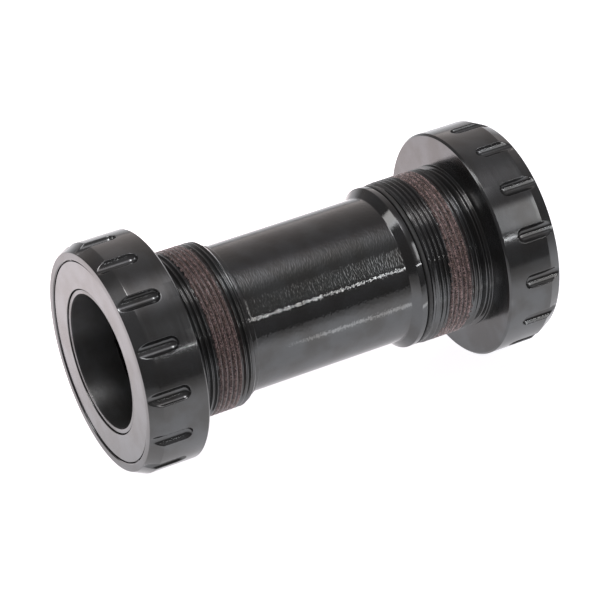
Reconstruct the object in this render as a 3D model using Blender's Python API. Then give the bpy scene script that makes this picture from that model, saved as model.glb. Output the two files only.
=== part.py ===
"""Threaded bottom bracket with outboard bearings, for a 68 mm bicycle frame shell.

The spindle axis is world Y. +X is the way the bicycle rides and +Z is up. The left cup is at +Y and
carries a right-hand thread; the right cup is at -Y and carries a left-hand thread. The origin is the
middle of the assembly. Profiles are lists of (depth, radius) in millimetres, where depth is measured
inboard from a cup's outer face; each cup is the mirror image of the other.
"""
import math

import bmesh
import bpy
from mathutils import Vector

MM = 0.001

# Whole assembly
SHELL_WIDTH = 68.0
HEAD_LENGTH = 12.5
HALF_LENGTH = SHELL_WIDTH / 2 + HEAD_LENGTH
SEGMENTS = 36
LEFT = 1
RIGHT = -1

# Cup head
CUP_RADIUS = 23.9
FACE_RADIUS = 22.65
FACE_CONE = 2.65
EDGE_CHAMFER = 0.4
NOTCH_COUNT = 15
NOTCH_CUTTER = 1.6
NOTCH_HALF_WIDTH = 1.55
NOTCH_LENGTH = 8.8
NOTCH_FLOOR = 22.7
NOTCH_HALF_WIDTHS = (0.35, 0.9, 1.3)
NOTCH_END_STEPS = 4
CUTTER_OVERHANG = 1.0
LEFT_NOTCH_TURN = 20.9
RIGHT_NOTCH_TURN = 1.7

# Cup nose and its thread, 1.37 inch by 24 turns per inch
THREAD_PITCH = 25.4 / 24
THREAD_CREST = 17.25
THREAD_ROOT = 16.6
NOSE_LENGTH = 13.7
NOSE_END = HEAD_LENGTH + NOSE_LENGTH
UNDERCUT_END = HEAD_LENGTH + 1.9
THREAD_START = UNDERCUT_END + 0.1
THREAD_END = NOSE_END - 0.1
THREAD_FADE = 0.6 * THREAD_PITCH
NOSE_TIP_RADIUS = 16.55
NOSE_BORE = 15.85
LAND_LENGTH = 0.75
UNDERCUT_RADIUS = 16.45

# Bearing, 30 x 42 x 7
BEARING_START = 2.0
BEARING_WIDTH = 7.0
BEARING_END = BEARING_START + BEARING_WIDTH
BEARING_MIDDLE = BEARING_START + BEARING_WIDTH / 2
BEARING_BORE = 15.0
BEARING_OUTSIDE = 20.9
SEAT_RADIUS = 21.0
SEAT_DEPTH = BEARING_END + 0.1
WEB_RADIUS = 19.6
WEB_DEPTH = SEAT_DEPTH + 0.8
BALL_COUNT = 18
BALL_RADIUS = 3.175 / 2
BALL_SEGMENTS = 8
BALL_RINGS = 5
PITCH_RADIUS = 18.0
OUTER_SHOULDER = 19.2
OUTER_GROOVE = 19.85
INNER_SHOULDER = 16.8
INNER_GROOVE = 16.2
GROOVE_HALF_WIDTH = 1.3
GROOVE_FLOOR_HALF_WIDTH = 0.4
SEAL_INSET = 0.35
SEAL_THICKNESS = 0.5
SEAL_GAP = 0.15

# Ball cage
CAGE_INNER = 17.55
CAGE_OUTER = 18.45
CAGE_BASE_START = BEARING_MIDDLE + 1.8
CAGE_BASE_END = CAGE_BASE_START + 0.5
CAGE_POST_START = BEARING_MIDDLE - 0.9
CAGE_POCKET_HALF_ANGLE = math.radians(6.8)

# Dust cover and bore bushing
COVER_RECESS = 0.25
COVER_PLATE = 0.55
COVER_INNER = 15.1
COVER_OUTER = 20.75
COVER_SKIRT_INNER = 19.6
COVER_SKIRT_OUTER = 20.9
COVER_UNDERSIDE = 1.3
COVER_SKIRT_END = 1.9
BUSHING_RECESS = 0.5
BUSHING_BORE = 14.0
BUSHING_LIP = 14.85
BUSHING_FLANGE = 15.9
BUSHING_FLANGE_START = 1.6
BUSHING_FLANGE_END = 1.9
BUSHING_TUBE = 14.9
BUSHING_END = BEARING_END + 0.3

# Centre sleeve, in world Y from its left end at +Y to its right end at -Y
SLEEVE_BORE = 14.35
SLEEVE_RADIUS = 15.4
SLEEVE_RIM = 15.6
SLEEVE_END = 33.5
RIM_LENGTH = 2.3
O_RING_GROOVE = 14.95
O_RING_GROOVE_START = SLEEVE_END - 0.6
O_RING_GROOVE_WIDTH = 1.1
O_RING_CLEARANCE = 0.1
O_RING_SIDES = 6
BEAD_RADIUS = 16.0
BEAD_BEVEL = 0.15
BEAD_START = HALF_LENGTH - NOSE_END - 0.1
BEAD_LENGTH = 1.3
COLLAR_RADIUS = 17.1
COLLAR_CONE_START = -16.0
COLLAR_START = -17.5
COLLAR_END = -19.0
SEAL_RING_START = -19.1
SEAL_RING_LENGTH = 1.0
SEAL_RING_INNER = 15.6
SEAL_RING_OUTER = 17.05
SEAL_RING_BEVEL = 0.25

BLACK = (0.012, 0.012, 0.014, 1.0)
SLEEVE_BLACK = (0.008, 0.008, 0.010, 1.0)
STEEL = (0.62, 0.62, 0.63, 1.0)
NYLON = (0.55, 0.36, 0.16, 1.0)
RUBBER = (0.015, 0.015, 0.015, 1.0)


def clear_scene():
    for item in list(bpy.data.objects):
        bpy.data.objects.remove(item, do_unlink=True)


def material(name, colour, roughness, metallic):
    made = bpy.data.materials.new(name)
    made.use_nodes = True
    shader = made.node_tree.nodes["Principled BSDF"]
    shader.inputs["Base Color"].default_value = colour
    shader.inputs["Roughness"].default_value = roughness
    shader.inputs["Metallic"].default_value = metallic
    return made


def add_object(name, bm, look, parent):
    """Turn a closed bmesh into a named object whose origin is on the spindle axis."""
    bmesh.ops.recalc_face_normals(bm, faces=bm.faces)
    mesh = bpy.data.meshes.new(name)
    bm.to_mesh(mesh)
    bm.free()
    mesh.materials.append(look)
    mesh.shade_smooth()
    mesh.set_sharp_from_angle(angle=math.radians(30))
    made = bpy.data.objects.new(name, mesh)
    bpy.context.collection.objects.link(made)
    made.parent = parent
    return made


def add_axis(name, parent=None):
    """An empty on the spindle axis that a moving group hangs from."""
    made = bpy.data.objects.new(name, None)
    made.empty_display_size = 5 * MM
    bpy.context.collection.objects.link(made)
    made.parent = parent
    return made


def ring_point(radius, y, angle):
    return Vector((radius * math.cos(angle) * MM, y * MM, radius * math.sin(angle) * MM))


def side_y(side, depth):
    return side * (HALF_LENGTH - depth)


def bridge_columns(bm, columns, shift_from=None, shift_to=None):
    """Skin closed columns of vertices. Rows between the two shift indices are one helix turn apart
    at the seam, where the last column meets the first."""
    count = len(columns)
    rows = len(columns[0])

    def across(i, k):
        if i < count - 1 or shift_from is None or not shift_from <= k <= shift_to:
            return columns[(i + 1) % count][k]
        return columns[0][min(k + 2, shift_to)]

    for i in range(count):
        for k in range(rows):
            after = (k + 1) % rows
            corners = [columns[i][k], columns[i][after], across(i, after), across(i, k)]
            bm.faces.new(list(dict.fromkeys(corners)))


def turned(profile, segments=SEGMENTS):
    """A ring turned about the spindle axis from a closed (y, radius) profile."""
    bm = bmesh.new()
    columns = []
    for i in range(segments):
        angle = 2 * math.pi * i / segments
        columns.append([bm.verts.new(ring_point(radius, y, angle)) for y, radius in profile])
    bridge_columns(bm, columns)
    return bm


def turned_side(side, profile):
    return turned([(side_y(side, depth), radius) for depth, radius in profile])


def thread_points(angle):
    """One column of the thread: alternate root and crest points, a full turn higher per revolution."""
    turns = math.ceil((THREAD_END - THREAD_START) / THREAD_PITCH)
    points = []
    for k in range(2 * turns + 3):
        depth = THREAD_START + THREAD_PITCH * (k / 2 - 1 + angle / (2 * math.pi))
        depth = min(max(depth, THREAD_START), THREAD_END)
        run_out = min(1.0, (depth - THREAD_START) / THREAD_FADE, (THREAD_END - depth) / THREAD_FADE)
        crest = THREAD_ROOT + (THREAD_CREST - THREAD_ROOT) * run_out
        points.append((depth, crest if k % 2 else THREAD_ROOT))
    return points


def cup_mesh(side):
    """Head, web, nose and thread of one cup, in a single closed skin."""
    head = [
        (WEB_DEPTH, NOSE_BORE),
        (WEB_DEPTH, WEB_RADIUS),
        (SEAT_DEPTH, WEB_RADIUS),
        (SEAT_DEPTH, SEAT_RADIUS),
        (0.0, SEAT_RADIUS),
        (0.0, FACE_RADIUS),
        (FACE_CONE, CUP_RADIUS),
        (HEAD_LENGTH - EDGE_CHAMFER, CUP_RADIUS),
        (HEAD_LENGTH, CUP_RADIUS - EDGE_CHAMFER),
        (HEAD_LENGTH, THREAD_CREST),
        (HEAD_LENGTH + LAND_LENGTH, THREAD_CREST),
        (HEAD_LENGTH + LAND_LENGTH, UNDERCUT_RADIUS),
        (UNDERCUT_END, UNDERCUT_RADIUS),
    ]
    nose = [
        (NOSE_END, NOSE_TIP_RADIUS),
        (NOSE_END, NOSE_BORE),
    ]
    bm = bmesh.new()
    columns = []
    for i in range(SEGMENTS):
        angle = 2 * math.pi * i / SEGMENTS
        points = head + thread_points(angle) + nose
        columns.append([bm.verts.new(ring_point(radius, side_y(side, depth), angle))
                        for depth, radius in points])
    last_thread_row = len(columns[0]) - len(nose) - 1
    bridge_columns(bm, columns, len(head), last_thread_row)
    bmesh.ops.remove_doubles(bm, verts=bm.verts, dist=1e-7)
    return bm


def notch_outline(half):
    """Half-round ended slot, as (across, depth) points, open past the cup's outer face."""
    middle = NOTCH_LENGTH - NOTCH_HALF_WIDTH
    points = [(-half, -CUTTER_OVERHANG), (half, -CUTTER_OVERHANG)]
    for i in range(NOTCH_END_STEPS + 1):
        angle = math.pi * i / NOTCH_END_STEPS
        points.append((half * math.cos(angle), middle + half * math.sin(angle)))
    return points


def notch_levels():
    """The round-bottomed groove as (radius, half width) levels, from its floor to clear of the cup."""
    levels = [(NOTCH_FLOOR, NOTCH_HALF_WIDTHS[0])]
    for half in NOTCH_HALF_WIDTHS[1:]:
        levels.append((NOTCH_FLOOR + NOTCH_CUTTER - math.sqrt(NOTCH_CUTTER ** 2 - half ** 2), half))
    levels.append((CUP_RADIUS, NOTCH_HALF_WIDTH))
    levels.append((CUP_RADIUS + CUTTER_OVERHANG, NOTCH_HALF_WIDTH))
    return levels


def notch_cutter(side, turn_degrees, parent):
    bm = bmesh.new()
    for i in range(NOTCH_COUNT):
        angle = math.radians(turn_degrees) + 2 * math.pi * i / NOTCH_COUNT
        outward = Vector((math.cos(angle), 0.0, math.sin(angle)))
        across = Vector((-math.sin(angle), 0.0, math.cos(angle)))
        rings = []
        for radius, half in notch_levels():
            ring = []
            for width, depth in notch_outline(half):
                along = Vector((0.0, side_y(side, depth), 0.0))
                ring.append(bm.verts.new((outward * radius + across * width + along) * MM))
            rings.append(ring)
        for lower, upper in zip(rings, rings[1:]):
            for k in range(len(lower)):
                after = (k + 1) % len(lower)
                bm.faces.new([lower[k], lower[after], upper[after], upper[k]])
        bm.faces.new(rings[0])
        bm.faces.new(rings[-1])
    name = "left_notch_cutter" if side == LEFT else "right_notch_cutter"
    made = add_object(name, bm, material(name, RUBBER, 0.5, 0.0), parent)
    made.hide_render = True
    made.display_type = "WIRE"
    return made


def add_cup(name, side, turn_degrees, parent):
    look = material(name + "_anodised", BLACK, 0.28, 0.85)
    made = add_object(name, cup_mesh(side), look, parent)
    cut = made.modifiers.new("notches", "BOOLEAN")
    cut.operation = "DIFFERENCE"
    cut.solver = "EXACT"
    cut.object = notch_cutter(side, turn_degrees, parent)


def race_profile(wall, shoulder, groove):
    """A bearing race: its plain wall on one side, its shoulders and ball groove on the other."""
    return [
        (BEARING_START, wall),
        (BEARING_START, shoulder),
        (BEARING_MIDDLE - GROOVE_HALF_WIDTH, shoulder),
        (BEARING_MIDDLE - GROOVE_FLOOR_HALF_WIDTH, groove),
        (BEARING_MIDDLE + GROOVE_FLOOR_HALF_WIDTH, groove),
        (BEARING_MIDDLE + GROOVE_HALF_WIDTH, shoulder),
        (BEARING_END, shoulder),
        (BEARING_END, wall),
    ]


def seal_profile(start):
    inner = INNER_SHOULDER + SEAL_GAP
    outer = OUTER_SHOULDER - SEAL_GAP
    return [
        (start, inner),
        (start, outer),
        (start + SEAL_THICKNESS, outer),
        (start + SEAL_THICKNESS, inner),
    ]


def cage_mesh(side):
    """Crown cage: a thin base ring with one post between each two balls."""
    bm = bmesh.new()
    columns = []
    for i in range(BALL_COUNT):
        middle = 2 * math.pi * i / BALL_COUNT
        for angle in (middle - CAGE_POCKET_HALF_ANGLE, middle + CAGE_POCKET_HALF_ANGLE):
            corners = [
                (CAGE_BASE_END, CAGE_INNER),
                (CAGE_BASE_END, CAGE_OUTER),
                (CAGE_BASE_START, CAGE_OUTER),
                (CAGE_BASE_START, CAGE_INNER),
            ]
            columns.append([bm.verts.new(ring_point(radius, side_y(side, depth), angle))
                            for depth, radius in corners])
    posts = []
    for i, column in enumerate(columns):
        following = columns[(i + 1) % len(columns)]
        for k in range(4):
            after = (k + 1) % 4
            face = bm.faces.new([column[k], column[after], following[after], following[k]])
            if i % 2 and k == 2:
                posts.append(face)
    reach = side_y(side, CAGE_POST_START) - side_y(side, CAGE_BASE_START)
    for face in posts:
        grown = bmesh.ops.extrude_discrete_faces(bm, faces=[face])["faces"]
        bmesh.ops.translate(bm, verts=grown[0].verts, vec=(0.0, reach * MM, 0.0))
    return bm


def ball_mesh():
    bm = bmesh.new()
    bmesh.ops.create_uvsphere(bm, u_segments=BALL_SEGMENTS, v_segments=BALL_RINGS, radius=BALL_RADIUS * MM)
    return bm


def add_balls(prefix, side, look, parent):
    """The balls sit on the pitch circle, each in its own node on the cage's axis."""
    for i in range(BALL_COUNT):
        name = f"{prefix}_ball_{i + 1:02d}"
        ball = add_object(name, ball_mesh(), look, parent)
        angle = 2 * math.pi * i / BALL_COUNT
        ball.location = ring_point(PITCH_RADIUS, side_y(side, BEARING_MIDDLE), angle)


def cover_profile():
    plate_end = COVER_RECESS + COVER_PLATE
    return [
        (COVER_RECESS, COVER_INNER),
        (COVER_RECESS, COVER_OUTER),
        (plate_end, COVER_OUTER),
        (plate_end, COVER_SKIRT_OUTER),
        (COVER_SKIRT_END, COVER_SKIRT_OUTER),
        (COVER_SKIRT_END, COVER_SKIRT_INNER),
        (COVER_UNDERSIDE, COVER_SKIRT_INNER),
        (COVER_UNDERSIDE, COVER_INNER),
    ]


def bushing_profile():
    return [
        (BUSHING_RECESS, BUSHING_BORE),
        (BUSHING_RECESS, BUSHING_LIP),
        (BUSHING_FLANGE_START, BUSHING_LIP),
        (BUSHING_FLANGE_START, BUSHING_FLANGE),
        (BUSHING_FLANGE_END, BUSHING_FLANGE),
        (BUSHING_FLANGE_END, BUSHING_TUBE),
        (BUSHING_END, BUSHING_TUBE),
        (BUSHING_END, BUSHING_BORE),
    ]


def sleeve_profile():
    """Left end with its O-ring groove, bead, plain tube, conical collar, right end."""
    groove_end = O_RING_GROOVE_START - O_RING_GROOVE_WIDTH
    bead_end = BEAD_START - BEAD_LENGTH
    return [
        (SLEEVE_END, SLEEVE_BORE),
        (SLEEVE_END, SLEEVE_RIM),
        (O_RING_GROOVE_START, SLEEVE_RIM),
        (O_RING_GROOVE_START, O_RING_GROOVE),
        (groove_end, O_RING_GROOVE),
        (groove_end, SLEEVE_RIM),
        (SLEEVE_END - RIM_LENGTH, SLEEVE_RIM),
        (SLEEVE_END - RIM_LENGTH, SLEEVE_RADIUS),
        (BEAD_START, SLEEVE_RADIUS),
        (BEAD_START, BEAD_RADIUS),
        (bead_end + BEAD_BEVEL, BEAD_RADIUS),
        (bead_end, SLEEVE_RADIUS),
        (COLLAR_CONE_START, SLEEVE_RADIUS),
        (COLLAR_START, COLLAR_RADIUS),
        (COLLAR_END, COLLAR_RADIUS),
        (COLLAR_END, SLEEVE_RADIUS),
        (-SLEEVE_END, SLEEVE_RADIUS),
        (-SLEEVE_END, SLEEVE_BORE),
    ]


def seal_ring_profile():
    end = SEAL_RING_START - SEAL_RING_LENGTH
    return [
        (SEAL_RING_START, SEAL_RING_INNER),
        (SEAL_RING_START, SEAL_RING_OUTER - SEAL_RING_BEVEL),
        (SEAL_RING_START - SEAL_RING_BEVEL, SEAL_RING_OUTER),
        (end + SEAL_RING_BEVEL, SEAL_RING_OUTER),
        (end, SEAL_RING_OUTER - SEAL_RING_BEVEL),
        (end, SEAL_RING_INNER),
    ]


def o_ring_profile():
    """A six-sided section, held just clear of its groove and of the cup's bore."""
    inner = O_RING_GROOVE + O_RING_CLEARANCE
    outer = NOSE_BORE - O_RING_CLEARANCE
    middle_radius = (inner + outer) / 2
    section = (outer - inner) / 2
    middle_y = O_RING_GROOVE_START - O_RING_GROOVE_WIDTH / 2
    profile = []
    for i in range(O_RING_SIDES):
        angle = math.pi / 2 + 2 * math.pi * i / O_RING_SIDES
        profile.append((middle_y + section * math.cos(angle), middle_radius + section * math.sin(angle)))
    return profile


def add_sleeve(parent):
    look = material("sleeve_anodised", SLEEVE_BLACK, 0.16, 0.9)
    rubber = material("sleeve_rubber", RUBBER, 0.55, 0.0)
    add_object("centre_sleeve", turned(sleeve_profile()), look, parent)
    add_object("sleeve_seal_ring", turned(seal_ring_profile()), rubber, parent)
    add_object("sleeve_o_ring", turned(o_ring_profile()), rubber, parent)


def add_cup_group(prefix, side, turn_degrees, parent):
    """One cup with its bearing, dust cover and bushing."""
    rotor = add_axis(prefix + "_rotor_axis", parent)
    cage = add_axis(prefix + "_cage_axis", parent)
    steel = material(prefix + "_bearing_steel", STEEL, 0.2, 1.0)
    rubber = material(prefix + "_seal_rubber", RUBBER, 0.6, 0.0)
    nylon = material(prefix + "_cage_nylon", NYLON, 0.5, 0.0)
    black = material(prefix + "_cover_anodised", BLACK, 0.28, 0.85)
    bore = material(prefix + "_bushing_anodised", BLACK, 0.3, 0.85)

    add_cup(prefix + "_cup", side, turn_degrees, parent)
    outer_race = race_profile(BEARING_OUTSIDE, OUTER_SHOULDER, OUTER_GROOVE)
    inner_race = race_profile(BEARING_BORE, INNER_SHOULDER, INNER_GROOVE)
    outboard = BEARING_START + SEAL_INSET
    inboard = BEARING_END - SEAL_INSET - SEAL_THICKNESS
    add_object(prefix + "_outer_race", turned_side(side, outer_race), steel, parent)
    add_object(prefix + "_outboard_seal", turned_side(side, seal_profile(outboard)), rubber, parent)
    add_object(prefix + "_inboard_seal", turned_side(side, seal_profile(inboard)), rubber, parent)
    add_object(prefix + "_dust_cover", turned_side(side, cover_profile()), black, parent)
    add_object(prefix + "_inner_race", turned_side(side, inner_race), steel, rotor)
    add_object(prefix + "_bushing", turned_side(side, bushing_profile()), bore, rotor)
    add_object(prefix + "_ball_cage", cage_mesh(side), nylon, cage)
    add_balls(prefix, side, steel, cage)


def build():
    clear_scene()
    right_axis = add_axis("right_cup_axis")
    sleeve_axis = add_axis("sleeve_axis", right_axis)
    left_axis = add_axis("left_cup_axis", sleeve_axis)
    add_cup_group("right", RIGHT, RIGHT_NOTCH_TURN, right_axis)
    add_sleeve(sleeve_axis)
    add_cup_group("left", LEFT, LEFT_NOTCH_TURN, left_axis)


build()
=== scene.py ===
"""The looks of the threaded bottom bracket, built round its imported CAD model.

Sizes are in millimetres and are turned into metres when a mesh is made. A cup's stations are depths,
measured inboard from that cup's outer face; the sleeve's stations are world Y. The spindle axis is Y.
"""
import math

import bmesh
import bpy
from mathutils import Matrix, Vector, noise


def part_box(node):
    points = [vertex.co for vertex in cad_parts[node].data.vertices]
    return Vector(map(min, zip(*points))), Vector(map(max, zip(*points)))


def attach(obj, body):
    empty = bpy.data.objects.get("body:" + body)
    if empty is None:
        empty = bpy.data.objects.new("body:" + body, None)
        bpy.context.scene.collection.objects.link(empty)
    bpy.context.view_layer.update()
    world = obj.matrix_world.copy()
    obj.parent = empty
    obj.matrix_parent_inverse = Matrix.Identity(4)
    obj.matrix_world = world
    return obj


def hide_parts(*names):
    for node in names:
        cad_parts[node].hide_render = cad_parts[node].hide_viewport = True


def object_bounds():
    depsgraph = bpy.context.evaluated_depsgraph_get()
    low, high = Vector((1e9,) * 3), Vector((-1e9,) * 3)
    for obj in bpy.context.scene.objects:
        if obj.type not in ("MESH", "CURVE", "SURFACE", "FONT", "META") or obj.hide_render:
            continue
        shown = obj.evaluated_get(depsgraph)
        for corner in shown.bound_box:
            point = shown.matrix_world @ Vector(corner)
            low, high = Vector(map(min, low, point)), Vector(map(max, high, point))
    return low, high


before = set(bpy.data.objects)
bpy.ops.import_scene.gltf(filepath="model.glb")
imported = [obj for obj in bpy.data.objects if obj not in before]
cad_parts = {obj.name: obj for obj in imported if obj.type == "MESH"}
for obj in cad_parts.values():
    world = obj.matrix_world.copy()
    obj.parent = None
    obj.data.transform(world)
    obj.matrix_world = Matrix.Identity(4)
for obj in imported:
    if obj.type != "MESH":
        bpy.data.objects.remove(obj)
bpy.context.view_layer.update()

MM = 0.001
LEFT = 1
RIGHT = -1


def reach(node, axis):
    """How far a node's box reaches along an axis, in millimetres."""
    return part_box(node)[1][axis] / MM


def span(node):
    low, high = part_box(node)
    return (high[1] - low[1]) / MM


# From the frame
HALF_LENGTH = reach("left_cup", 1)
CUP_RADIUS = reach("left_cup", 0)
NOSE_END = span("left_cup")
SLEEVE_END = reach("centre_sleeve", 1)
COLLAR_RADIUS = reach("centre_sleeve", 0)
BUSHING_END = HALF_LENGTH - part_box("left_bushing")[0][1] / MM
BUSHING_RECESS = HALF_LENGTH - reach("left_bushing", 1)
BUSHING_FLANGE = reach("left_bushing", 0)
COVER_RECESS = HALF_LENGTH - reach("left_dust_cover", 1)
COVER_SKIRT_OUTER = reach("left_dust_cover", 0)
BEARING_OUTSIDE = reach("left_outer_race", 0)
BEARING_START = HALF_LENGTH - reach("left_outer_race", 1)
BEARING_END = BEARING_START + span("left_outer_race")
BEARING_MIDDLE = (BEARING_START + BEARING_END) / 2
SEAL_RING_OUTER = reach("sleeve_seal_ring", 0)
SEAL_RING_START = reach("sleeve_seal_ring", 1)
SEAL_RING_LENGTH = span("sleeve_seal_ring")
BALL_COUNT = sum(node.startswith("left_ball_") and node[-1].isdigit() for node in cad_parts)

# Cup head
HEAD_LENGTH = 12.5
FACE_RADIUS = 22.65
FACE_CONE = 2.65
EDGE_CHAMFER = 0.4
MOUTH_RADIUS = 21.0
MOUTH_CHAMFER = 0.2
FACE_SEAM = (22.2, 21.8)
SHOULDER_SEAM = (23.1, 22.7)
NOTCH_COUNT = 15
NOTCH_WIDTH = 3.1
NOTCH_LENGTH = 8.8
NOTCH_FLOOR = 22.7
NOTCH_CUTTER = 1.6
NOTCH_EDGE_BLEND = 0.1
NOTCH_TURN = {LEFT: 20.9, RIGHT: 1.7}

# Cup nose, 1.37 inch by 24 turns per inch
THREAD_PITCH = 25.4 / 24
THREAD_CREST = 17.25
THREAD_ROOT = 16.62
THREAD_START = HEAD_LENGTH + 1.9
NOSE_TIP_RADIUS = 16.65
NOSE_BORE = 15.85
UNDERCUT_RADIUS = 16.45
LAND_END = HEAD_LENGTH + 0.75
WEB_RADIUS = 19.6
SEAT_DEPTH = BEARING_END + 0.1
WEB_DEPTH = SEAT_DEPTH + 0.8
THREAD_LOCK_BAND = {
    LEFT: (HEAD_LENGTH + 5.5, HEAD_LENGTH + 10.8),
    RIGHT: (HEAD_LENGTH + 4.4, HEAD_LENGTH + 10.0),
}
THREAD_LOCK_SLANT = {LEFT: 0.0, RIGHT: -1.5}
THREAD_LOCK_FILL = {LEFT: 0.11, RIGHT: 0.2}
THREAD_LOCK_SKIN = 0.02
THREAD_LOCK_FEATHER = 0.3

# Bearing
BALL_RADIUS = 3.175 / 2
PITCH_RADIUS = 18.0
BEARING_BORE = 15.0
OUTER_SHOULDER = 19.2
INNER_SHOULDER = 16.8
GROOVE_RADIUS = 1.68
CAGE_INNER = 17.55
CAGE_OUTER = 18.45
CAGE_BACK = BEARING_MIDDLE + 2.3
CAGE_FRONT = BEARING_MIDDLE - 0.9
POCKET_RADIUS = BALL_RADIUS + 0.2

# Dust cover and bushing
COVER_INNER = 15.1
COVER_OUTER = 20.75
COVER_SKIRT_INNER = 19.6
COVER_SKIRT_START = 0.8
COVER_BACK = 1.3
COVER_SKIRT_END = 1.9
BUSHING_BORE = 14.0
BUSHING_LIP = 14.85
BUSHING_TUBE = 14.9
FLANGE_START = 1.6
FLANGE_END = 1.9

# Sleeve
SLEEVE_BORE = 14.35
SLEEVE_RADIUS = 15.4
SLEEVE_RIM = 15.6
RIM_LENGTH = 2.3
O_RING_GROOVE_RADIUS = 14.95
O_RING_GROOVE_WIDTH = 1.1
BEAD_RADIUS = 16.0
BEAD_LENGTH = 1.05
COLLAR_CONE_START = -16.0
COLLAR_START = -17.5
COLLAR_STEP = -18.6
COLLAR_END = -19.0
SEAL_RING_INNER = 15.6

# How finely the meshes are cut
ROUND_COLUMNS = 240
FINE_COLUMNS = 288
ARC_STEPS = 4
NOTCH_STEPS = 24


# ---------------------------------------------------------------- mesh helpers


def rounded(profile):
    """A closed outline with each (station, radius, fillet) corner turned into a short arc."""
    path = []
    for i, (station, radius, fillet) in enumerate(profile):
        corner = Vector((station, radius))
        if not fillet:
            path.append(tuple(corner))
            continue
        before = (Vector(profile[i - 1][:2]) - corner).normalized()
        after = (Vector(profile[(i + 1) % len(profile)][:2]) - corner).normalized()
        half = before.angle(after) / 2
        centre = corner + (before + after).normalized() * fillet / math.sin(half)
        start = corner + before * fillet / math.tan(half) - centre
        end = corner + after * fillet / math.tan(half) - centre
        sweep = start.angle(end)
        for k in range(ARC_STEPS + 1):
            share = k / ARC_STEPS
            spoke = start * math.sin((1 - share) * sweep) + end * math.sin(share * sweep)
            path.append(tuple(centre + spoke / math.sin(sweep)))
    return path


def ring_point(y, radius, angle):
    return (radius * math.cos(angle) * MM, y * MM, radius * math.sin(angle) * MM)


def even_angles(count):
    return [2 * math.pi * i / count for i in range(count)]


class Skin:
    """A closed skin made of rings of points round the spindle axis."""

    def __init__(self):
        self.points = []
        self.faces = []

    def ring(self, points):
        first = len(self.points)
        self.points.extend(points)
        return list(range(first, len(self.points)))

    def face(self, corners):
        corners = list(dict.fromkeys(corners))
        if len(corners) > 2:
            self.faces.append(corners)

    def strip(self, one, two):
        for i in range(len(one)):
            after = (i + 1) % len(one)
            self.face([one[i], one[after], two[after], two[i]])

    def zip(self, one, one_angles, two, two_angles):
        """Join two rings of different counts on one flat face with triangles."""
        i = k = 0
        while i < len(one) or k < len(two):
            next_one = one_angles[i + 1] if i + 1 < len(one) else 2 * math.pi
            next_two = two_angles[k + 1] if k + 1 < len(two) else 2 * math.pi
            here_one = one[i % len(one)]
            here_two = two[k % len(two)]
            if k >= len(two) or (i < len(one) and next_one <= next_two):
                self.face([here_one, one[(i + 1) % len(one)], here_two])
                i += 1
            else:
                self.face([here_one, two[(k + 1) % len(two)], here_two])
                k += 1

    def finish(self, name, materials):
        mesh = bpy.data.meshes.new(name)
        mesh.from_pydata(self.points, [], self.faces)
        bm = bmesh.new()
        bm.from_mesh(mesh)
        bmesh.ops.remove_doubles(bm, verts=bm.verts, dist=1e-7)
        bmesh.ops.recalc_face_normals(bm, faces=bm.faces)
        bm.to_mesh(mesh)
        bm.free()
        mesh.shade_smooth()
        for look in materials:
            mesh.materials.append(look)
        made = bpy.data.objects.new(name, mesh)
        bpy.context.collection.objects.link(made)
        normals = made.modifiers.new("flat faces stay flat", "WEIGHTED_NORMAL")
        normals.weight = 80
        return made


def turned(name, path, look, columns=ROUND_COLUMNS):
    """A closed ring turned from a closed (y, radius) path."""
    skin = Skin()
    angles = even_angles(columns)
    rings = [skin.ring([ring_point(y, radius, a) for a in angles]) for y, radius in path]
    for k, ring in enumerate(rings):
        skin.strip(ring, rings[(k + 1) % len(rings)])
    return skin.finish(name, [look])


def side_y(side, depth):
    return side * (HALF_LENGTH - depth)


def turned_side(name, side, profile, look, columns=ROUND_COLUMNS):
    """A turned ring whose profile corners are (depth, radius, fillet)."""
    path = [(side_y(side, depth), radius) for depth, radius in rounded(profile)]
    return turned(name, path, look, columns)


def place(piece, body, node):
    """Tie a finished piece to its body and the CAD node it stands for."""
    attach(piece, body)
    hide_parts(node)
    return piece


def between(low, high, count):
    return [low + (high - low) * i / count for i in range(1, count + 1)]


# ---------------------------------------------------------------- node helpers


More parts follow.
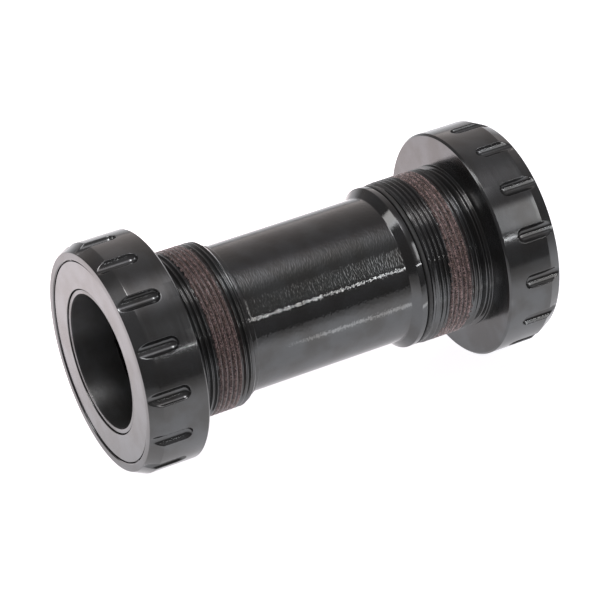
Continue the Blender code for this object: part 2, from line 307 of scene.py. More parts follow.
class Nodes:
    """A material's or the world's node tree, with one short call for each kind of node that is used."""

    def __init__(self, owner):
        owner.use_nodes = True
        self.owner = owner
        self.tree = owner.node_tree
        self.shader = self.tree.nodes.get("Principled BSDF")

    def add(self, kind, **settings):
        node = self.tree.nodes.new(kind)
        for key, value in settings.items():
            setattr(node, key, value)
        return node

    def feed(self, socket, value):
        if isinstance(value, bpy.types.NodeSocket):
            self.tree.links.new(value, socket)
        else:
            socket.default_value = value

    def maths(self, operation, one, two=0.0, clamp=False):
        node = self.add("ShaderNodeMath", operation=operation, use_clamp=clamp)
        self.feed(node.inputs[0], one)
        self.feed(node.inputs[1], two)
        return node.outputs[0]

    def scaled(self, vector, scale):
        node = self.add("ShaderNodeVectorMath", operation="SCALE")
        self.feed(node.inputs[0], vector)
        self.feed(node.inputs["Scale"], scale)
        return node.outputs[0]

    def product(self, one, two):
        node = self.add("ShaderNodeVectorMath", operation="MULTIPLY")
        self.feed(node.inputs[0], one)
        self.feed(node.inputs[1], two)
        return node.outputs[0]

    def noise(self, vector, scale, detail=2.0, roughness=0.5):
        node = self.add("ShaderNodeTexNoise")
        self.feed(node.inputs["Vector"], vector)
        self.feed(node.inputs["Scale"], scale)
        self.feed(node.inputs["Detail"], detail)
        self.feed(node.inputs["Roughness"], roughness)
        return node.outputs[0]

    def stretch(self, value, low, high, new_low, new_high):
        node = self.add("ShaderNodeMapRange", interpolation_type="SMOOTHSTEP")
        for socket, setting in zip(node.inputs, (value, low, high, new_low, new_high)):
            self.feed(socket, setting)
        return node.outputs[0]

    def mix(self, share, one, two):
        node = self.add("ShaderNodeMix", data_type="RGBA")
        self.feed(node.inputs[0], share)
        self.feed(node.inputs[6], one)
        self.feed(node.inputs[7], two)
        return node.outputs[2]

    def bump(self, height, distance, strength=1.0, before=None):
        node = self.add("ShaderNodeBump")
        self.feed(node.inputs["Height"], height)
        self.feed(node.inputs["Distance"], distance)
        self.feed(node.inputs["Strength"], strength)
        if before is not None:
            self.feed(node.inputs["Normal"], before)
        return node.outputs[0]

    def parts(self, vector):
        node = self.add("ShaderNodeSeparateXYZ")
        self.feed(node.inputs[0], vector)
        return node.outputs

    def position(self):
        """Object coordinates, and the same point as (y, radius) for what was cut on a lathe."""
        point = self.add("ShaderNodeTexCoord").outputs["Object"]
        x, y, z = self.parts(point)
        squares = self.maths("ADD", self.maths("MULTIPLY", x, x), self.maths("MULTIPLY", z, z))
        radius = self.maths("SQRT", squares)
        lathe = self.add("ShaderNodeCombineXYZ")
        self.feed(lathe.inputs[0], y)
        self.feed(lathe.inputs[1], radius)
        return point, y, radius, lathe.outputs[0]

    def lobe(self, direction, towards, sharpness, radiance):
        """A soft round glow in the sky."""
        node = self.add("ShaderNodeVectorMath", operation="DOT_PRODUCT")
        self.feed(node.inputs[0], direction)
        self.feed(node.inputs[1], towards)
        facing = self.maths("MAXIMUM", node.outputs["Value"], 0.0)
        return self.maths("MULTIPLY", self.maths("POWER", facing, sharpness), radiance)

    def total(self, one, two):
        """The sum of two vectors or colours."""
        node = self.add("ShaderNodeVectorMath", operation="ADD")
        self.feed(node.inputs[0], one)
        self.feed(node.inputs[1], two)
        return node.outputs[0]

    def pool(self, point, centre, radius, radiance):
        """A soft round patch of light on a surface."""
        node = self.add("ShaderNodeVectorMath", operation="DISTANCE")
        self.feed(node.inputs[0], point)
        self.feed(node.inputs[1], centre)
        share = self.maths("DIVIDE", node.outputs["Value"], radius)
        fade = self.maths("EXPONENT", self.maths("MULTIPLY", self.maths("MULTIPLY", share, share), -0.5))
        return self.maths("MULTIPLY", fade, radiance)

    def set(self, **inputs):
        for key, value in inputs.items():
            self.feed(self.shader.inputs[key.replace("_", " ")], value)


# ---------------------------------------------------------------- materials

METAL_SHARE = 0.88
GRAZING_SHARE = 0.87
CHATTER_LEFT_OVER = 0.12


def grey(value, warm=0.0):
    return (value * (1 + warm), value, value * (1 - warm), 1.0)


def anodised(name, colour, roughness, groove_depth, chatter_depth, anisotropy=0.6, chatter_from=None):
    """Black anodised aluminium straight from the lathe: fine turning lines, faint cloudy colour.

    The tool's chatter is the same all over, or almost gone below a world Y.
    """
    nodes = Nodes(bpy.data.materials.new(name))
    point, y, _, lathe = nodes.position()
    lines = nodes.noise(lathe, 5200.0, detail=3.0, roughness=0.65)
    chatter = nodes.noise(nodes.product(point, (1.0, 2.5, 1.0)), 1500.0, detail=0.0)
    if chatter_from is not None:
        start = chatter_from * MM
        faint = chatter_depth * CHATTER_LEFT_OVER
        chatter_depth = nodes.stretch(y, start, start + 0.2 * MM, faint, chatter_depth)
    cloud = nodes.stretch(nodes.noise(point, 160.0, detail=3.0), 0.35, 0.65, 0.0, 1.0)
    nodes.set(
        Base_Color=nodes.mix(cloud, grey(colour * 0.88, 0.015), grey(colour * 1.12, -0.02)),
        Metallic=METAL_SHARE,
        Specular_Tint=grey(GRAZING_SHARE),
        Roughness=nodes.stretch(lines, 0.3, 0.7, roughness * 0.8, roughness * 1.25),
        Anisotropic=anisotropy,
        Anisotropic_Rotation=0.25,
        Tangent=nodes.add("ShaderNodeTangent", direction_type="RADIAL", axis="Y").outputs[0],
        Normal=nodes.bump(chatter, chatter_depth, before=nodes.bump(lines, groove_depth)),
    )
    return nodes


def lock_cover(nodes, point, y, radius, side):
    """How far the dried compound hides the thread, from 0 to 1: ragged ends, and crests rubbed bare."""
    start, end = THREAD_LOCK_BAND[side]
    wander = nodes.maths("SUBTRACT", nodes.noise(point, 1100.0), 0.5)
    depth = nodes.maths("SUBTRACT", HALF_LENGTH * MM, nodes.maths("ABSOLUTE", y))
    depth = nodes.maths("ADD", depth, nodes.maths("MULTIPLY", wander, 1.2 * MM))
    height = nodes.maths("DIVIDE", nodes.parts(point)[2], THREAD_CREST * MM)
    slant = nodes.maths("MULTIPLY", height, THREAD_LOCK_SLANT[side] * MM)
    slanted = nodes.maths("SUBTRACT", depth, slant)
    starts = nodes.stretch(depth, start * MM, (start + 0.15) * MM, 0.0, 1.0)
    ends = nodes.stretch(slanted, (end - 0.15) * MM, end * MM, 1.0, 0.0)
    outside = nodes.stretch(radius, (UNDERCUT_RADIUS - 0.2) * MM, UNDERCUT_RADIUS * MM, 0.0, 1.0)
    unworn = nodes.stretch(radius, (THREAD_CREST - 0.04) * MM, (THREAD_CREST + 0.01) * MM, 1.0, 0.15)
    band = nodes.maths("MULTIPLY", starts, ends)
    return nodes.maths("MULTIPLY", band, nodes.maths("MULTIPLY", outside, unworn))


def lock_colour(nodes, point, radius, grains):
    """Brown grains and darker stains, with painted shade that turns it almost black down in the roots."""
    speckled = nodes.stretch(grains, 0.45, 0.57, 0.0, 1.0)
    brown = nodes.mix(speckled, (0.015, 0.009, 0.008, 1.0), (0.5, 0.345, 0.335, 1.0))
    stains = nodes.stretch(nodes.noise(point, 700.0), 0.4, 0.7, 0.0, 0.5)
    brown = nodes.mix(stains, brown, (0.09, 0.055, 0.036, 1.0))
    # Painted shade: the colour darkens from brown at the crests to almost black in the thread roots.
    painted_root_shade = nodes.stretch(radius, THREAD_ROOT * MM, (THREAD_CREST - 0.1) * MM, 0.1, 1.0)
    return nodes.mix(painted_root_shade, (0.012, 0.008, 0.008, 1.0), brown)


def cup_material(name, side):
    """The cups' anodising, with a band of dried thread locking compound on the nose."""
    nodes = anodised(
        name, colour=0.105, roughness=0.16, groove_depth=0.0000016, chatter_depth=0.0000012,
    )
    inputs = nodes.shader.inputs
    metal, shine, turning = (
        inputs[key].links[0].from_socket for key in ("Base Color", "Roughness", "Normal")
    )
    point, y, radius, _ = nodes.position()
    grains = nodes.noise(point, 3600.0, detail=3.0, roughness=0.8)
    cover = lock_cover(nodes, point, y, radius, side)
    bare = nodes.maths("SUBTRACT", 1.0, cover)
    nodes.set(
        Base_Color=nodes.mix(cover, metal, lock_colour(nodes, point, radius, grains)),
        Metallic=nodes.maths("MULTIPLY", bare, METAL_SHARE),
        Roughness=nodes.maths("ADD", shine, nodes.maths("MULTIPLY", cover, 0.28)),
        Normal=nodes.bump(grains, nodes.maths("MULTIPLY", cover, 0.00016), before=turning),
    )
    return nodes.owner


def rubber_material(name):
    nodes = Nodes(bpy.data.materials.new(name))
    point = nodes.position()[0]
    speckle = nodes.noise(point, 1800.0, detail=3.0)
    nodes.set(
        Base_Color=nodes.mix(speckle, grey(0.012), grey(0.03)),
        Roughness=nodes.stretch(speckle, 0.3, 0.7, 0.4, 0.6),
        Normal=nodes.bump(speckle, 0.00001),
    )
    return nodes.owner


def steel_material(name):
    """Ground and polished bearing steel."""
    nodes = Nodes(bpy.data.materials.new(name))
    point, _, _, lathe = nodes.position()
    lines = nodes.noise(lathe, 6000.0, detail=2.0)
    cloud = nodes.noise(point, 400.0)
    nodes.set(
        Base_Color=nodes.mix(cloud, grey(0.55), grey(0.68)),
        Metallic=1.0,
        Roughness=nodes.stretch(lines, 0.3, 0.7, 0.1, 0.2),
        Normal=nodes.bump(lines, 0.000001),
    )
    return nodes.owner


def nylon_material(name):
    nodes = Nodes(bpy.data.materials.new(name))
    point = nodes.position()[0]
    flow = nodes.noise(point, 500.0, detail=4.0)
    nodes.set(
        Base_Color=nodes.mix(flow, (0.42, 0.25, 0.10, 1.0), (0.62, 0.42, 0.20, 1.0)),
        Roughness=nodes.stretch(flow, 0.3, 0.7, 0.35, 0.55),
        Normal=nodes.bump(flow, 0.00001),
    )
    return nodes.owner


# ---------------------------------------------------------------- cups


def notch_angles(side):
    return [math.radians(NOTCH_TURN[side]) + 2 * math.pi * i / NOTCH_COUNT for i in range(NOTCH_COUNT)]


def head_columns(side):
    """Column angles, close together across each notch's walls and wide apart on the lands."""
    half = NOTCH_WIDTH / 2
    pitch = 2 * math.pi * CUP_RADIUS / NOTCH_COUNT
    near = between(0.0, half + 0.2, NOTCH_STEPS)
    land = between(half + 0.2, pitch / 2, 7)
    offsets = [0.0] + near + land
    offsets += [-x for x in offsets[1:-1]]
    angles = []
    for middle in notch_angles(side):
        angles += [(middle + offset / CUP_RADIUS) % (2 * math.pi) for offset in offsets]
    return sorted(angles)


def head_path():
    """The head's outside as (depth, radius), from its outer face round to its shoulder."""
    corners = rounded([
        (0.0, FACE_SEAM[0], 0.0),
        (0.0, FACE_RADIUS, 0.12),
        (FACE_CONE, CUP_RADIUS, 0.5),
        (HEAD_LENGTH - EDGE_CHAMFER, CUP_RADIUS, 0.12),
        (HEAD_LENGTH, CUP_RADIUS - EDGE_CHAMFER, 0.12),
        (HEAD_LENGTH, SHOULDER_SEAM[0], 0.0),
    ])
    notch_bend = NOTCH_LENGTH - NOTCH_WIDTH / 2 - 0.1
    notch_past = NOTCH_LENGTH + 0.2
    path = [corners[0]]
    for corner in corners[1:]:
        before = path[-1]
        if corner[0] - before[0] > 5:
            depths = between(before[0], notch_bend, 6)
            depths += between(notch_bend, notch_past, NOTCH_STEPS)
            path += [(depth, CUP_RADIUS) for depth in depths + [NOTCH_LENGTH + 0.8]]
        elif corner[0] - before[0] > 1:
            for share in between(0.0, 1.0, 9)[:-1]:
                path.append(tuple(Vector(before).lerp(Vector(corner), share)))
        path.append(corner)
    return path


def notch_height(depth, angle, side):
    """Radius of the groove that a ball-nosed cutter leaves at this point of the head."""
    pitch = 2 * math.pi / NOTCH_COUNT
    turn = (angle - math.radians(NOTCH_TURN[side]) + pitch / 2) % pitch - pitch / 2
    across = turn * CUP_RADIUS
    beyond = max(0.0, depth - (NOTCH_LENGTH - NOTCH_WIDTH / 2))
    away = min(math.hypot(across, beyond), NOTCH_CUTTER)
    return NOTCH_FLOOR + NOTCH_CUTTER - math.sqrt(NOTCH_CUTTER ** 2 - away ** 2)


def blended_low(one, two, width):
    """The lower of two heights, with the corner between them rounded over."""
    overlap = max(0.0, width - abs(one - two)) / width
    return min(one, two) - overlap * overlap * width / 4


def lock_coat(depth, angle, side):
    """How thickly the dried thread locking compound lies here, from 0 to 1."""
    start, end = THREAD_LOCK_BAND[side]
    end += THREAD_LOCK_SLANT[side] * math.sin(angle)
    if not start - THREAD_LOCK_FEATHER < depth < end + THREAD_LOCK_FEATHER:
        return 0.0
    spot = Vector((17 * math.cos(angle), depth, 17 * math.sin(angle)))
    ragged = 0.35 * noise.noise(spot * 0.9)
    edge = min(depth + ragged - start, end - depth - ragged)
    lumps = 0.75 + 0.8 * noise.noise(spot * 0.8)
    return min(1.0, max(0.0, edge / THREAD_LOCK_FEATHER)) * lumps


def thread_rows():
    """Heights over one turn as (offset along the axis, height share): crest, flanks and root."""
    return [
        (-0.46, 0.02), (-0.28, 0.41), (-0.10, 0.90), (-0.05, 0.99), (0.0, 1.0),
        (0.05, 0.99), (0.10, 0.90), (0.28, 0.41), (0.46, 0.02), (THREAD_PITCH / 2, 0.0),
    ]


def thread_rings(skin, side, angles):
    """The helix as rings that climb one pitch per turn, skinned with a one-turn step at the seam.

    What would lie before the thread's start or past the nose's end closes up on one edge there.
    """
    rows = thread_rows()
    end = NOSE_END
    turns = math.ceil((end - THREAD_START) / THREAD_PITCH) + 2
    rings = []
    for k in range(turns * len(rows)):
        offset, height = rows[k % len(rows)]
        points = []
        for angle in angles:
            climb = THREAD_PITCH * (k // len(rows) - 1.5 + angle / (2 * math.pi)) + offset
            depth = min(max(THREAD_START + climb, THREAD_START), end)
            radius = THREAD_ROOT + (THREAD_CREST - THREAD_ROOT) * height
            coat = lock_coat(depth, angle, side)
            radius += coat * (THREAD_LOCK_SKIN + THREAD_LOCK_FILL[side] * (1 - height))
            start_bevel = UNDERCUT_RADIUS + (depth - THREAD_START)
            end_bevel = NOSE_TIP_RADIUS + (end - depth) * 0.9
            radius = min(radius, start_bevel, end_bevel) if depth < end else NOSE_TIP_RADIUS
            points.append(ring_point(side_y(side, depth), radius, angle))
        rings.append(skin.ring(points))
    last = len(rings) - 1
    for k in range(last):
        one, two = rings[k], rings[k + 1]
        for i in range(len(angles) - 1):
            skin.face([one[i], one[i + 1], two[i + 1], two[i]])
        over_one = rings[min(k + len(rows), last)][0]
        over_two = rings[min(k + 1 + len(rows), last)][0]
        skin.face([one[-1], over_one, over_two, two[-1]])
    return rings[0], rings[-1]


def make_cup(prefix, side, look):
    """One closed skin: notched head, shoulder, land, undercut, thread, nose bore, bearing seat, mouth."""
    skin = Skin()
    wide = head_columns(side)
    round_angles = even_angles(FINE_COLUMNS)

    head = []
    for depth, radius in head_path():
        points = []
        for angle in wide:
            here = radius
            if 0.0 < depth < NOTCH_LENGTH + 0.5:
                here = blended_low(radius, notch_height(depth, angle, side), NOTCH_EDGE_BLEND)
            points.append(ring_point(side_y(side, depth), here, angle))
        head.append(skin.ring(points))
    for one, two in zip(head, head[1:]):
        skin.strip(one, two)

    def turned_rings(profile):
        rings = []
        for depth, radius in rounded(profile):
            rings.append(skin.ring([ring_point(side_y(side, depth), radius, a) for a in round_angles]))
        for one, two in zip(rings, rings[1:]):
            skin.strip(one, two)
        return rings

    land = turned_rings([
        (HEAD_LENGTH, SHOULDER_SEAM[1], 0.0),
        (HEAD_LENGTH, THREAD_CREST, 0.1),
        (LAND_END, THREAD_CREST, 0.12),
        (LAND_END + 0.15, UNDERCUT_RADIUS, 0.2),
        (THREAD_START, UNDERCUT_RADIUS, 0.0),
    ])
    first_thread, last_thread = thread_rings(skin, side, round_angles)
    inside = turned_rings([
        (NOSE_END, NOSE_TIP_RADIUS - 0.05, 0.0),
        (NOSE_END, NOSE_BORE, 0.15),
        (WEB_DEPTH, NOSE_BORE, 0.2),
        (WEB_DEPTH, WEB_RADIUS, 0.2),
        (SEAT_DEPTH, WEB_RADIUS, 0.1),
        (SEAT_DEPTH, MOUTH_RADIUS, 0.15),
        (MOUTH_CHAMFER, MOUTH_RADIUS, 0.03),
        (0.0, MOUTH_RADIUS + MOUTH_CHAMFER, 0.04),
        (0.0, FACE_SEAM[1], 0.0),
    ])
    skin.zip(head[-1], wide, land[0], round_angles)
    skin.strip(land[-1], first_thread)
    skin.strip(last_thread, inside[0])
    skin.zip(inside[-1], round_angles, head[0], wide)
    return skin.finish(prefix + "_cup_turned", [look])


# ---------------------------------------------------------------- bearings, covers and bushings


def race_path(wall, shoulder, outward):
    """A race with a true arc ball groove; outward is 1 for the outer race and -1 for the inner."""
    lip = 0.2
    half = math.sqrt(GROOVE_RADIUS ** 2 - (abs(shoulder - PITCH_RADIUS)) ** 2)
    sweep = math.asin(half / GROOVE_RADIUS)
    groove = []
    for i in range(13):
        angle = sweep * (i / 6 - 1)
        station = BEARING_MIDDLE + GROOVE_RADIUS * math.sin(angle)
        groove.append((station, PITCH_RADIUS + outward * GROOVE_RADIUS * math.cos(angle), 0.0))
    return [(BEARING_START, wall, lip), (BEARING_START, shoulder, 0.1)] + groove + [
        (BEARING_END, shoulder, 0.1), (BEARING_END, wall, lip)]


def make_bearing(prefix, side, looks):
    """Races, seals, cage and balls of one 30 x 42 x 7 mm bearing."""
    outer = race_path(BEARING_OUTSIDE, OUTER_SHOULDER, 1)
    inner = race_path(BEARING_BORE, INNER_SHOULDER, -1)
    race = turned_side(prefix + "_race_outer", side, outer, looks["steel"])
    place(race, prefix + "_side", prefix + "_outer_race")
    race = turned_side(prefix + "_race_inner", side, inner, looks["steel"])
    place(race, prefix + "_rotor", prefix + "_inner_race")
    for node, inboard in ((prefix + "_outboard_seal", False), (prefix + "_inboard_seal", True)):
        low, high = sorted(HALF_LENGTH - side * corner[1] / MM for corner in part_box(node))
        seal = turned_side(node + "_lip", side, seal_profile(low, high, inboard), looks["rubber"])
        place(seal, prefix + "_side", node)
    place(make_cage(prefix, side, looks["nylon"]), prefix + "_balls", prefix + "_ball_cage")
    ball_mesh = make_ball_mesh(looks["steel"])
    for i in range(1, BALL_COUNT + 1):
        node = f"{prefix}_ball_{i:02d}"
        low, high = (Vector(corner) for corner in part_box(node))
        ball = bpy.data.objects.new(f"{prefix}_steel_ball_{i:02d}", ball_mesh)
        ball.location = (low + high) / 2
        bpy.context.collection.objects.link(ball)
        place(ball, prefix + "_balls", node)


def seal_profile(low, high, inboard):
    """A moulded seal: a shallow step in its outward side and a thinner lip at the inner race."""
    inner = INNER_SHOULDER + 0.15
    outer = OUTER_SHOULDER - 0.15
    face, back = (high, low) if inboard else (low, high)
    step = 0.12 if face < back else -0.12
    return [
        (back, inner + 0.05, 0.03), (back, outer, 0.05), (face, outer, 0.08),
        (face, outer - 0.5, 0.05), (face + step, outer - 0.62, 0.05),
        (face + step, inner + 0.6, 0.05), (face, inner + 0.45, 0.05), (face, inner, 0.04),
    ]


def make_ball_mesh(look):
    bm = bmesh.new()
    bmesh.ops.create_uvsphere(bm, u_segments=32, v_segments=20, radius=BALL_RADIUS * MM)
    mesh = bpy.data.meshes.new("bearing_ball")
    bm.to_mesh(mesh)
    bm.free()
    mesh.shade_smooth()
    mesh.materials.append(look)
    return mesh


def make_cage(prefix, side, look):
    """A crown cage: a base ring, and posts whose sides curve round the balls."""
    columns_per_ball = 24
    angles = even_angles(BALL_COUNT * columns_per_ball)
    skin = Skin()
    rings = [[], [], [], []]
    for i, angle in enumerate(angles):
        turn = (i % columns_per_ball) / columns_per_ball
        across = abs(turn - round(turn)) * 2 * math.pi / BALL_COUNT * PITCH_RADIUS
        depth = CAGE_FRONT
        if across < POCKET_RADIUS:
            depth = BEARING_MIDDLE + math.sqrt(POCKET_RADIUS ** 2 - across ** 2)
        corners = (
            (CAGE_BACK, CAGE_INNER), (CAGE_BACK, CAGE_OUTER), (depth, CAGE_OUTER), (depth, CAGE_INNER),
        )
        for ring, (station, radius) in zip(rings, corners):
            ring.append(ring_point(side_y(side, station), radius, angle))
    rings = [skin.ring(points) for points in rings]
    for k, ring in enumerate(rings):
        skin.strip(ring, rings[(k + 1) % 4])
    piece = skin.finish(prefix + "_crown_cage", [look])
    piece.modifiers.remove(piece.modifiers[0])
    piece.data.set_sharp_from_angle(angle=math.radians(40))
    return piece


def make_cover(prefix, side, look):
    """The flat ring in the cup's mouth, with a skirt that presses into the bore."""
    profile = [
        (COVER_RECESS, COVER_INNER, 0.1),
        (COVER_RECESS, COVER_OUTER, 0.1),
        (COVER_SKIRT_START, COVER_OUTER, 0.03),
        (COVER_SKIRT_START, COVER_SKIRT_OUTER, 0.05),
        (COVER_SKIRT_END, COVER_SKIRT_OUTER, 0.1),
        (COVER_SKIRT_END, COVER_SKIRT_INNER, 0.1),
        (COVER_BACK, COVER_SKIRT_INNER, 0.05),
        (COVER_BACK, COVER_INNER, 0.1),
    ]
    piece = turned_side(prefix + "_cover_ring", side, profile, look, FINE_COLUMNS)
    place(piece, prefix + "_side", prefix + "_dust_cover")


def make_bushing(prefix, side, look):
    """The bore sleeve in the inner race; its lip shows inside the cover."""
    profile = [
        (BUSHING_RECESS, BUSHING_BORE, 0.15),
        (BUSHING_RECESS, BUSHING_LIP, 0.12),
        (FLANGE_START, BUSHING_LIP, 0.03),
        (FLANGE_START, BUSHING_FLANGE, 0.08),
        (FLANGE_END, BUSHING_FLANGE, 0.05),
        (FLANGE_END, BUSHING_TUBE, 0.02),
        (BUSHING_END, BUSHING_TUBE, 0.15),
        (BUSHING_END, BUSHING_BORE, 0.2),
    ]
    piece = turned_side(prefix + "_bore_bushing", side, profile, look)
    place(piece, prefix + "_rotor", prefix + "_bushing")


# ---------------------------------------------------------------- sleeve


def make_sleeve(look):
    """Grooved left end, bead, plain tube, conical collar with a fine groove, plain right end."""
    bead = HALF_LENGTH - NOSE_END - 0.1
    groove = reach("sleeve_o_ring", 1) + 0.2
    groove_end = groove - O_RING_GROOVE_WIDTH
    profile = [
        (SLEEVE_END, SLEEVE_BORE, 0.2),
        (SLEEVE_END, SLEEVE_RIM, 0.2),
        (groove, SLEEVE_RIM, 0.05),
        (groove, O_RING_GROOVE_RADIUS, 0.1),
        (groove_end, O_RING_GROOVE_RADIUS, 0.1),
        (groove_end, SLEEVE_RIM, 0.05),
        (SLEEVE_END - RIM_LENGTH, SLEEVE_RIM, 0.05),
        (SLEEVE_END - RIM_LENGTH - 0.2, SLEEVE_RADIUS, 0.05),
        (bead, SLEEVE_RADIUS, 0.05),
        (bead, BEAD_RADIUS, 0.12),
        (bead - BEAD_LENGTH, BEAD_RADIUS, 0.15),
        (bead - BEAD_LENGTH - 0.25, SLEEVE_RADIUS, 0.12),
        (COLLAR_CONE_START, SLEEVE_RADIUS, 0.25),
        (COLLAR_START, COLLAR_RADIUS, 0.15),
        (COLLAR_STEP, COLLAR_RADIUS, 0.05),
        (COLLAR_STEP - 0.1, COLLAR_RADIUS - 0.25, 0.05),
        (COLLAR_STEP - 0.25, COLLAR_RADIUS - 0.25, 0.05),
        (COLLAR_END, COLLAR_RADIUS - 0.4, 0.05),
        (COLLAR_END, SLEEVE_RADIUS, 0.05),
        (-SLEEVE_END, SLEEVE_RADIUS, 0.2),
        (-SLEEVE_END, SLEEVE_BORE, 0.2),
    ]
    piece = turned("sleeve_tube", rounded(profile), look, FINE_COLUMNS)
    place(piece, "sleeve", "centre_sleeve")


def make_sleeve_seals(look):
    """The ring between the collar and the right cup's nose, and the O-ring in the sleeve's left end."""
    end = SEAL_RING_START - SEAL_RING_LENGTH
    ring = [
        (SEAL_RING_START, SEAL_RING_INNER, 0.1),
        (SEAL_RING_START, SEAL_RING_OUTER, 0.28),
        (end, SEAL_RING_OUTER, 0.28),
        (end, SEAL_RING_INNER, 0.1),
    ]
    place(turned("collar_seal", rounded(ring), look), "sleeve", "sleeve_seal_ring")
    low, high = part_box("sleeve_o_ring")
    section = (high[1] - low[1]) / 2 / MM
    middle = (low[1] + high[1]) / 2 / MM
    centre = high[0] / MM - section - 0.02
    circle = [(middle + section * math.cos(a), centre + section * math.sin(a)) for a in even_angles(16)]
    place(turned("o_ring", circle, look), "sleeve", "sleeve_o_ring")


# ---------------------------------------------------------------- stage, lights and camera

CAMERA_TARGET = Vector((-0.2, 1.4, -1.1)) * MM
CAMERA_AZIMUTH = math.radians(-118.74)
CAMERA_ELEVATION = math.radians(37.82)
CAMERA_DISTANCE = 591.4 * MM
FOCAL_LENGTH = 174.9


def direction(azimuth, elevation):
    """The unit vector from the object towards a viewer at this azimuth and elevation."""
    flat = math.cos(elevation)
    return Vector((math.sin(azimuth) * flat, -math.cos(azimuth) * flat, math.sin(elevation)))


def aim(item, place_at, target):
    item.location = place_at
    item.rotation_euler = (target - place_at).to_track_quat("-Z", "Y").to_euler()
    bpy.context.collection.objects.link(item)


def make_camera():
    data = bpy.data.cameras.new("camera")
    data.lens = FOCAL_LENGTH
    data.sensor_width = 36
    camera = bpy.data.objects.new("camera", data)
    towards_camera = direction(CAMERA_AZIMUTH, CAMERA_ELEVATION)
    aim(camera, CAMERA_TARGET + towards_camera * CAMERA_DISTANCE, CAMERA_TARGET)
    bpy.context.scene.camera = camera


def sky_direction(turn, lean):
    """A direction by its turn round the spindle axis from +X, towards +Z, and its lean towards +Y."""
    turn, lean = math.radians(turn), math.radians(lean)
    return Vector((math.cos(turn) * math.cos(lean), math.sin(lean), math.sin(turn) * math.cos(lean)))


def soften(data, edge):
    """Fade a panel's light away over this share of its length and width at each side."""
    nodes = Nodes(data)
    strength = 1.0
    for across in nodes.parts(nodes.add("ShaderNodeNewGeometry").outputs["Parametric"])[:2]:
        rise = nodes.stretch(across, 0.0, edge, 0.0, 1.0)
        fall = nodes.stretch(across, 1.0 - edge, 1.0, 1.0, 0.0)
        strength = nodes.maths("MULTIPLY", nodes.maths("MULTIPLY", rise, fall), strength)
    nodes.feed(nodes.tree.nodes["Emission"].inputs["Strength"], strength)


def panel(name, turn, lean, distance, length, width, radiance, shift=0.0, soft_edge=0.0):
    """A rectangular light that faces the object, with its length laid towards +Y.

    It stands in the direction of its turn and lean, then moves along Y by the shift.
    """
    data = bpy.data.lights.new(name, "AREA")
    data.shape = "RECTANGLE"
    data.size = length
    data.size_y = width
    data.energy = radiance * 4 * length * width
    if soft_edge:
        soften(data, soft_edge)
    light = bpy.data.objects.new(name, data)
    outward = sky_direction(turn, lean)
    along = sky_direction(turn, lean + 90)
    facing = Matrix((along, outward.cross(along), outward)).transposed().to_4x4()
    light.matrix_world = Matrix.Translation(outward * distance + Vector((0, shift, 0))) @ facing
    light.visible_camera = False
    bpy.context.collection.objects.link(light)


def make_world():
    """A dim room with a bright sweep behind the object and a soft lamp overhead."""
    world = bpy.data.worlds.new("studio")
    bpy.context.scene.world = world
    nodes = Nodes(world)
    direction = nodes.add("ShaderNodeTexCoord").outputs["Generated"]
    sweep = sky_direction(0, -23)
    warm = nodes.lobe(direction, sweep, 4.0, 0.75)
    warm = nodes.maths("ADD", warm, nodes.lobe(direction, sky_direction(-6, -31), 40.0, 0.9))
    cool = nodes.lobe(direction, sky_direction(90, 0), 1.0, 0.15)
    cool = nodes.maths("ADD", cool, nodes.lobe(direction, sky_direction(90, -4), 40.0, 4.6))
    cool = nodes.maths("ADD", cool, nodes.lobe(direction, sky_direction(78, 30), 70.0, 0.6))
    cool = nodes.maths("ADD", cool, 0.10)
    colour = nodes.total(nodes.scaled((1.04, 0.95, 0.93), warm), nodes.scaled((1.0, 0.97, 0.99), cool))
    nodes.feed(nodes.tree.nodes["Background"].inputs["Color"], colour)


def make_lights():
    panel("rim_strip", turn=151, lean=-42, distance=1.0, length=0.88, width=0.012, radiance=18.0)
    panel(
        "side_box", turn=132, lean=-40.5, distance=1.0, length=0.52, width=0.47, radiance=2.6,
        soft_edge=0.22,
    )
    panel("top_box", turn=90, lean=10, distance=1.0, length=0.24, width=0.36, radiance=7.0)
    panel("back_box", turn=57, lean=52, distance=1.0, length=0.2, width=0.38, radiance=2.8)
    panel(
        "front_strip", turn=201, lean=0, distance=0.058, length=0.038, width=0.0045, radiance=1.4,
        shift=-0.029,
    )


def table_glow(nodes, point, low):
    """The light table: a flat-topped glow with warmer lamps under it."""
    table = nodes.maths("MINIMUM", nodes.pool(point, (0.04, -0.03, low), 0.12, 1.35), 0.76)
    warm = nodes.pool(point, (0.05, 0.075, low), 0.036, 0.9)
    warm = nodes.maths("ADD", warm, nodes.pool(point, (0.06, -0.02, low), 0.03, 1.05))
    table = nodes.maths("ADD", table, nodes.pool(point, (0.4, -0.25, low), 0.2, 0.7))
    cool = nodes.scaled((0.98, 0.98, 1.02), nodes.maths("ADD", table, 0.06))
    return nodes.total(cool, nodes.scaled((1.16, 0.95, 0.96), warm))


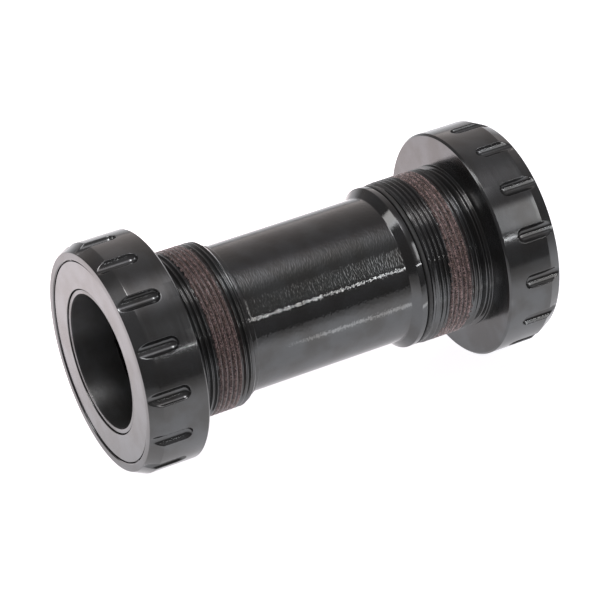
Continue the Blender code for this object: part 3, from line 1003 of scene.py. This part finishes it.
def make_floor():
    """A white light table. It is brightest behind the object and fades to grey beyond the picture."""
    half = 3.0
    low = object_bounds()[0][2]
    mesh = bpy.data.meshes.new("floor")
    corners = [(-half, -half, low), (half, -half, low), (half, half, low), (-half, half, low)]
    mesh.from_pydata(corners, [], [(0, 1, 2, 3)])
    nodes = Nodes(bpy.data.materials.new("floor_paper"))
    point = nodes.position()[0]
    fibre = nodes.noise(point, 900.0, detail=3.0)
    nodes.set(
        Base_Color=nodes.mix(fibre, grey(0.43), grey(0.46)),
        Roughness=0.9,
        Emission_Color=table_glow(nodes, point, low),
        Emission_Strength=1.0,
    )
    mesh.materials.append(nodes.owner)
    floor = bpy.data.objects.new("floor", mesh)
    bpy.context.collection.objects.link(floor)


# ---------------------------------------------------------------- build

bpy.context.scene.view_settings.view_transform = "Standard"
LOOKS = {
    "cup": {LEFT: cup_material("left_cup_black", LEFT), RIGHT: cup_material("right_cup_black", RIGHT)},
    "cover": anodised(
        "cover_black", colour=0.16, roughness=0.15, groove_depth=0.0000012, chatter_depth=0.0000015,
    ).owner,
    "bushing": anodised(
        "bushing_black", colour=0.18, roughness=0.36, groove_depth=0.0000006, chatter_depth=0.0000015,
    ).owner,
    "sleeve": anodised(
        "sleeve_black", colour=0.10, roughness=0.10, groove_depth=0.000002, chatter_depth=0.000023,
        anisotropy=0.8, chatter_from=COLLAR_CONE_START,
    ).owner,
    "steel": steel_material("bearing_steel"),
    "rubber": rubber_material("seal_rubber"),
    "nylon": nylon_material("cage_nylon"),
}
make_camera()
make_world()
make_lights()
make_floor()
for PREFIX, SIDE in (("left", LEFT), ("right", RIGHT)):
    place(make_cup(PREFIX, SIDE, LOOKS["cup"][SIDE]), PREFIX + "_side", PREFIX + "_cup")
    make_cover(PREFIX, SIDE, LOOKS["cover"])
    make_bushing(PREFIX, SIDE, LOOKS["bushing"])
    make_bearing(PREFIX, SIDE, LOOKS)
make_sleeve(LOOKS["sleeve"])
make_sleeve_seals(LOOKS["rubber"])
